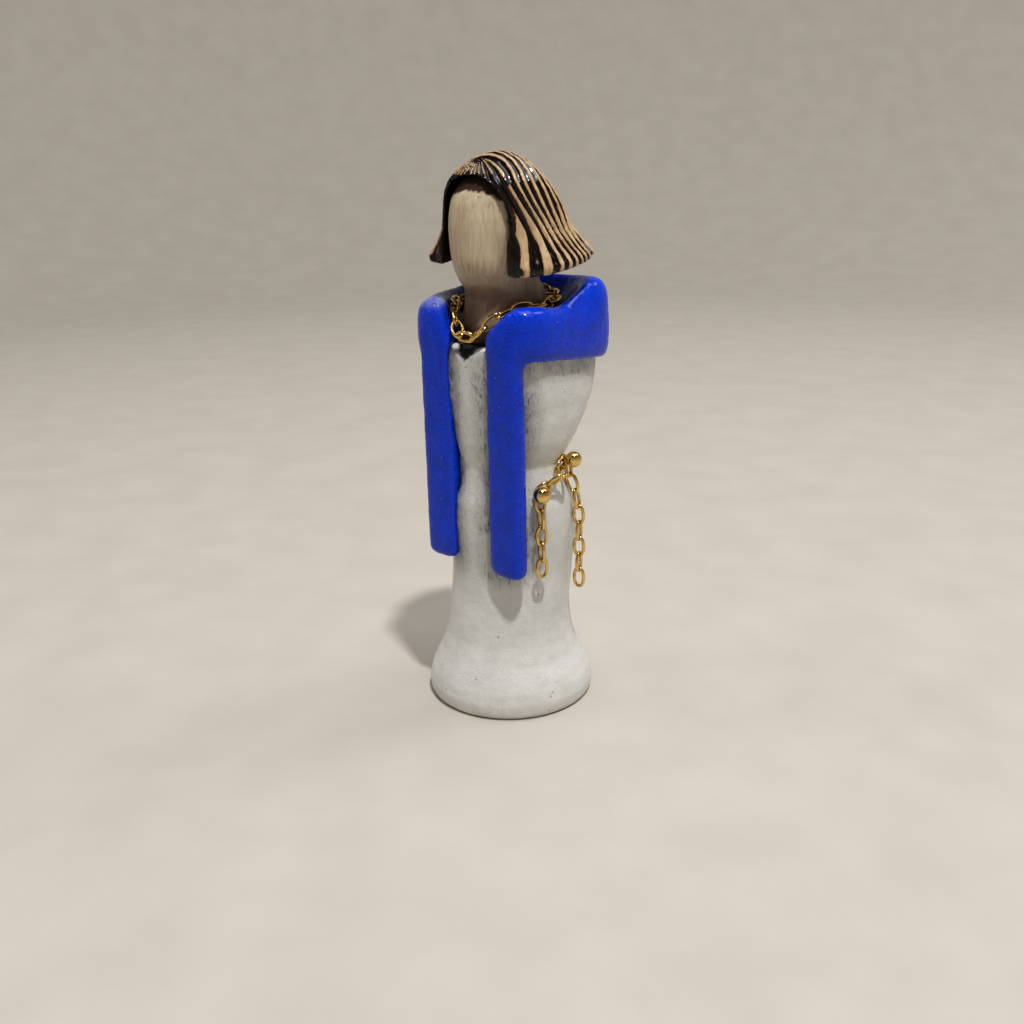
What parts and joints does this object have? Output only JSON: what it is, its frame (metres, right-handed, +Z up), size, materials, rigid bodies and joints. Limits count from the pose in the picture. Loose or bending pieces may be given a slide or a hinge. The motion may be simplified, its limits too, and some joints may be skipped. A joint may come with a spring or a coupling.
{
  "type": "madonna statue",
  "caption": "Small carved and painted madonna figure with a blank wooden face, grooved bob hair, a blue mantle and gold link chains at the neck and hip.",
  "frame": {"origin": "centre of the underside of the round base", "axes": "+Z up the figure, -Y the way it faces, +X towards its left hand"},
  "size_m": [0.0306, 0.0306, 0.0958],
  "materials": {
    "white_paint": "off-white pearl paint on carved wood, slightly rough, with small specks",
    "blue_paint": "glossy ultramarine enamel on carved wood, slightly lumpy",
    "bare_wood": "sanded natural wood with fine upright grain",
    "burnt_wood": "varnished, tan ridges between burnt black grooves",
    "gold": "polished gold-coloured wire"
  },
  "bodies": {
    "figure": {"dress_body": "white_paint", "mantle": "blue_paint", "head_and_neck": "bare_wood", "hair": "burnt_wood", "neck_peg": "bare_wood", "hip_pin_front": "gold", "hip_pin_back": "gold"},
    "hip_link_01": {"hip_link_01": "gold"},
    "hip_link_02": {"hip_link_02": "gold"},
    "hip_link_03": {"hip_link_03": "gold"},
    "hip_link_04": {"hip_link_04": "gold"},
    "hip_link_05": {"hip_link_05": "gold"},
    "hip_link_10": {"hip_link_10": "gold"},
    "hip_link_11": {"hip_link_11": "gold"},
    "hip_link_12": {"hip_link_12": "gold"},
    "hip_link_13": {"hip_link_13": "gold"},
    "hip_link_14": {"hip_link_14": "gold"},
    "hip_link_15": {"hip_link_15": "gold"},
    "hip_link_16": {"hip_link_16": "gold"},
    "hip_link_17": {"hip_link_17": "gold"},
    "hip_link_06": {"hip_link_06": "gold"},
    "hip_link_07": {"hip_link_07": "gold"},
    "hip_link_08": {"hip_link_08": "gold"},
    "hip_link_09": {"hip_link_09": "gold"},
    "necklace_link_01": {"necklace_link_01": "gold"},
    "necklace_link_02": {"necklace_link_02": "gold"},
    "necklace_link_03": {"necklace_link_03": "gold"},
    "necklace_link_04": {"necklace_link_04": "gold"},
    "necklace_link_05": {"necklace_link_05": "gold"},
    "necklace_link_06": {"necklace_link_06": "gold"},
    "necklace_link_07": {"necklace_link_07": "gold"},
    "necklace_link_08": {"necklace_link_08": "gold"},
    "necklace_link_09": {"necklace_link_09": "gold"},
    "necklace_link_10": {"necklace_link_10": "gold"},
    "necklace_link_11": {"necklace_link_11": "gold"},
    "necklace_link_12": {"necklace_link_12": "gold"},
    "necklace_link_13": {"necklace_link_13": "gold"},
    "necklace_link_14": {"necklace_link_14": "gold"},
    "necklace_link_15": {"necklace_link_15": "gold"},
    "necklace_link_16": {"necklace_link_16": "gold"},
    "necklace_link_17": {"necklace_link_17": "gold"},
    "necklace_link_18": {"necklace_link_18": "gold"},
    "necklace_link_19": {"necklace_link_19": "gold"},
    "necklace_link_20": {"necklace_link_20": "gold"},
    "necklace_link_21": {"necklace_link_21": "gold"}
  },
  "joints": [
    {"name": "hip_01_swing", "type": "hinge", "parent": "figure", "child": "hip_link_01", "pos_m": [0.01076, -0.00441, 0.0405], "axis": [0.8686, -0.4369, 0.2337], "range_deg": [-2, 30]},
    {"name": "hip_02_lift", "type": "hinge", "parent": "hip_link_01", "child": "hip_link_02", "pos_m": [0.01137, -0.00472, 0.03763], "axis": [-0.4493, -0.8934, 0], "range_deg": [0, 25]},
    {"name": "hip_03_swing", "type": "hinge", "parent": "hip_link_02", "child": "hip_link_03", "pos_m": [0.01157, -0.00482, 0.03469], "axis": [0.8908, -0.448, 0.0756], "range_deg": [-4, 35]},
    {"name": "hip_04_lift", "type": "hinge", "parent": "hip_link_03", "child": "hip_link_04", "pos_m": [0.01157, -0.00482, 0.03174], "axis": [-0.4493, -0.8934, 0], "range_deg": [0, 25]},
    {"name": "hip_05_swing", "type": "hinge", "parent": "hip_link_04", "child": "hip_link_05", "pos_m": [0.01157, -0.00482, 0.02879], "axis": [0.8934, -0.4493, 0], "range_deg": [-12, 35]},
    {"name": "hip_10_swing", "type": "hinge", "parent": "figure", "child": "hip_link_10", "pos_m": [0.01087, 0.00341, 0.0449], "axis": [0.9617, 0.2132, 0.1725], "range_deg": [-8, 28]},
    {"name": "hip_11_lift", "type": "hinge", "parent": "hip_link_10", "child": "hip_link_11", "pos_m": [0.01137, 0.00352, 0.04199], "axis": [0.2164, -0.9763, 0], "range_deg": [0, 25]},
    {"name": "hip_12_swing", "type": "hinge", "parent": "hip_link_11", "child": "hip_link_12", "pos_m": [0.0124, 0.00375, 0.03924], "axis": [0.9112, 0.202, 0.359], "range_deg": [-30, 35]},
    {"name": "hip_13_lift", "type": "hinge", "parent": "hip_link_12", "child": "hip_link_13", "pos_m": [0.01293, 0.00387, 0.03634], "axis": [0.2164, -0.9763, 0], "range_deg": [0, 25]},
    {"name": "hip_14_swing", "type": "hinge", "parent": "hip_link_13", "child": "hip_link_14", "pos_m": [0.01306, 0.00389, 0.03339], "axis": [0.9753, 0.2162, 0.0442], "range_deg": [-35, 35]},
    {"name": "hip_15_lift", "type": "hinge", "parent": "hip_link_14", "child": "hip_link_15", "pos_m": [0.01306, 0.00389, 0.03044], "axis": [0.2164, -0.9763, 0], "range_deg": [0, 25]},
    {"name": "hip_16_swing", "type": "hinge", "parent": "hip_link_15", "child": "hip_link_16", "pos_m": [0.01306, 0.00389, 0.02749], "axis": [0.9763, 0.2164, 0], "range_deg": [-35, 35]},
    {"name": "hip_17_lift", "type": "hinge", "parent": "hip_link_16", "child": "hip_link_17", "pos_m": [0.01306, 0.00389, 0.02454], "axis": [0.2164, -0.9763, 0], "range_deg": [-20, 25]},
    {"name": "hip_06_rock", "type": "hinge", "parent": "figure", "child": "hip_link_06", "pos_m": [0.01015, -0.0041, 0.0405], "axis": [-0.3851, -0.7658, -0.515], "range_deg": [-3, 9]},
    {"name": "hip_07_rock", "type": "hinge", "parent": "figure", "child": "hip_link_07", "pos_m": [0.0112, -0.00202, 0.0419], "axis": [-0.5594, -0.6418, -0.5245], "range_deg": [-5, 5]},
    {"name": "hip_08_rock", "type": "hinge", "parent": "figure", "child": "hip_link_08", "pos_m": [0.01272, -0.00028, 0.04333], "axis": [0.7668, -0.5949, -0.241], "range_deg": [-8, 12]},
    {"name": "hip_09_rock", "type": "hinge", "parent": "figure", "child": "hip_link_09", "pos_m": [0.01063, 0.00134, 0.04398], "axis": [0.1962, -0.8848, -0.4226], "range_deg": [-5, 1]},
    {"name": "necklace_01_rock", "type": "hinge", "parent": "figure", "child": "necklace_link_01", "pos_m": [-0.00137, -0.00961, 0.06702], "axis": [-0.9999, -0.009, -0.0135], "range_deg": [-4, 12]},
    {"name": "necklace_02_rock", "type": "hinge", "parent": "figure", "child": "necklace_link_02", "pos_m": [0.00143, -0.00958, 0.06705], "axis": [-0.6633, -0.4388, -0.6061], "range_deg": [-15, 15]},
    {"name": "necklace_03_rock", "type": "hinge", "parent": "figure", "child": "necklace_link_03", "pos_m": [0.00329, -0.00835, 0.06875], "axis": [-0.5794, -0.5593, -0.5928], "range_deg": [-15, 15]},
    {"name": "necklace_04_rock", "type": "hinge", "parent": "figure", "child": "necklace_link_04", "pos_m": [0.00491, -0.00679, 0.07041], "axis": [-0.601, -0.7042, -0.3779], "range_deg": [-15, 15]},
    {"name": "necklace_05_rock", "type": "hinge", "parent": "figure", "child": "necklace_link_05", "pos_m": [0.00659, -0.00482, 0.07147], "axis": [-0.497, -0.864, -0.0807], "range_deg": [-15, 15]},
    {"name": "necklace_06_rock", "type": "hinge", "parent": "figure", "child": "necklace_link_06", "pos_m": [0.00798, -0.0024, 0.07169], "axis": [-0.2155, -0.9765, -0.0018], "range_deg": [-15, 15]},
    {"name": "necklace_07_rock", "type": "hinge", "parent": "figure", "child": "necklace_link_07", "pos_m": [0.00859, 0.00034, 0.0717], "axis": [0.1078, -0.9886, -0.1052], "range_deg": [-15, 15]},
    {"name": "necklace_08_rock", "type": "hinge", "parent": "figure", "child": "necklace_link_08", "pos_m": [0.00829, 0.0031, 0.072], "axis": [0.4174, -0.9014, -0.1153], "range_deg": [-15, 15]},
    {"name": "necklace_09_rock", "type": "hinge", "parent": "figure", "child": "necklace_link_09", "pos_m": [0.00712, 0.00563, 0.07232], "axis": [0.6851, -0.7225, -0.0924], "range_deg": [-15, 15]},
    {"name": "necklace_10_rock", "type": "hinge", "parent": "figure", "child": "necklace_link_10", "pos_m": [0.0052, 0.00765, 0.07258], "axis": [0.8827, -0.4662, -0.0596], "range_deg": [-15, 15]},
    {"name": "necklace_11_rock", "type": "hinge", "parent": "figure", "child": "necklace_link_11", "pos_m": [0.00273, 0.00896, 0.07274], "axis": [0.9872, -0.1585, -0.0203], "range_deg": [-15, 15]},
    {"name": "necklace_12_rock", "type": "hinge", "parent": "figure", "child": "necklace_link_12", "pos_m": [-0.00004, 0.0094, 0.0728], "axis": [0.9857, 0.1669, 0.0214], "range_deg": [-15, 15]},
    {"name": "necklace_13_rock", "type": "hinge", "parent": "figure", "child": "necklace_link_13", "pos_m": [-0.0028, 0.00893, 0.07274], "axis": [0.8786, 0.4737, 0.0606], "range_deg": [-15, 15]},
    {"name": "necklace_14_rock", "type": "hinge", "parent": "figure", "child": "necklace_link_14", "pos_m": [-0.00526, 0.00761, 0.07257], "axis": [0.6789, 0.7283, 0.0932], "range_deg": [-15, 15]},
    {"name": "necklace_15_rock", "type": "hinge", "parent": "figure", "child": "necklace_link_15", "pos_m": [-0.00716, 0.00557, 0.07231], "axis": [0.4096, 0.9049, 0.1157], "range_deg": [-15, 15]},
    {"name": "necklace_16_rock", "type": "hinge", "parent": "figure", "child": "necklace_link_16", "pos_m": [-0.0083, 0.00303, 0.07199], "axis": [0.0994, 0.9898, 0.102], "range_deg": [-15, 15]},
    {"name": "necklace_17_rock", "type": "hinge", "parent": "figure", "child": "necklace_link_17", "pos_m": [-0.00858, 0.00026, 0.0717], "axis": [-0.2239, 0.9746, 0.0021], "range_deg": [-15, 15]},
    {"name": "necklace_18_rock", "type": "hinge", "parent": "figure", "child": "necklace_link_18", "pos_m": [-0.00796, -0.00247, 0.07169], "axis": [-0.5027, 0.8602, 0.0859], "range_deg": [-15, 15]},
    {"name": "necklace_19_rock", "type": "hinge", "parent": "figure", "child": "necklace_link_19", "pos_m": [-0.00655, -0.00488, 0.07145], "axis": [-0.6009, 0.6998, 0.3862], "range_deg": [-15, 6]},
    {"name": "necklace_20_rock", "type": "hinge", "parent": "figure", "child": "necklace_link_20", "pos_m": [-0.00487, -0.00683, 0.07037], "axis": [-0.5795, 0.5562, 0.5956], "range_deg": [-15, 15]},
    {"name": "necklace_21_rock", "type": "hinge", "parent": "figure", "child": "necklace_link_21", "pos_m": [-0.00324, -0.00839, 0.06871], "axis": [-0.669, 0.4346, 0.6029], "range_deg": [-4, 12]}
  ]
}
